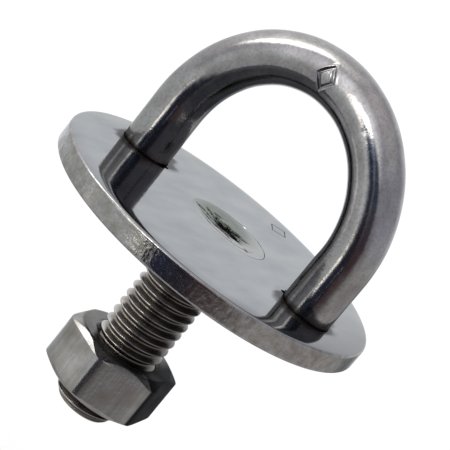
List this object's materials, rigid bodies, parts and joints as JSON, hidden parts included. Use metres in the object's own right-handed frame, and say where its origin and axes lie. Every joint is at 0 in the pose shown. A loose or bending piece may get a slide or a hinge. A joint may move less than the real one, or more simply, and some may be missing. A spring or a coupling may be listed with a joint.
{
  "type": "pad eye",
  "caption": "Round-plate pad eye with a bent bar eye on top, a threaded stud below and a hexagon nut that screws along the stud.",
  "frame": {"origin": "on the stud's axis at the underside of the plate, the face that sits on the deck", "axes": "+Z along the stud towards the eye, X across the two legs of the eye, Y through the eye's opening"},
  "size_m": [0.05, 0.05, 0.0614],
  "materials": {
    "polished_plate": "mirror-polished stainless steel plate",
    "polished_bar": "polished stainless steel round bar with faint tumbling haze and heat tint at the feet",
    "stud_thread": "rolled thread in bare stainless steel, darker in the roots",
    "ground_weld": "weld metal ground flush and polished, with fine pits",
    "nut_steel": "bright stainless nut with drawn lines on its flats",
    "nut_bore": "tapped thread in stainless steel"
  },
  "bodies": {
    "eye_plate": {"base_plate": "polished_plate", "eye_loop": "polished_bar", "threaded_stud": "stud_thread", "stud_weld": "ground_weld", "left_leg_weld": "ground_weld", "right_leg_weld": "ground_weld"},
    "thread_ring": {"nut_thread": "nut_bore"},
    "nut": {"hex_nut": "nut_steel"}
  },
  "joints": [
    {"name": "nut_travel", "type": "slide", "parent": "eye_plate", "child": "thread_ring", "axis": [0, 0, 1], "range_m": [-0.009, 0.018]},
    {"name": "nut_spin", "type": "hinge", "parent": "thread_ring", "child": "nut", "pos_m": [0, 0, -0.0222], "axis": [0, 0, 1], "range_deg": [-2160, 4320]}
  ],
  "couplings": [
    {"joint": "nut_travel", "follows": "nut_spin", "m_per_rad": 0.00023873}
  ]
}
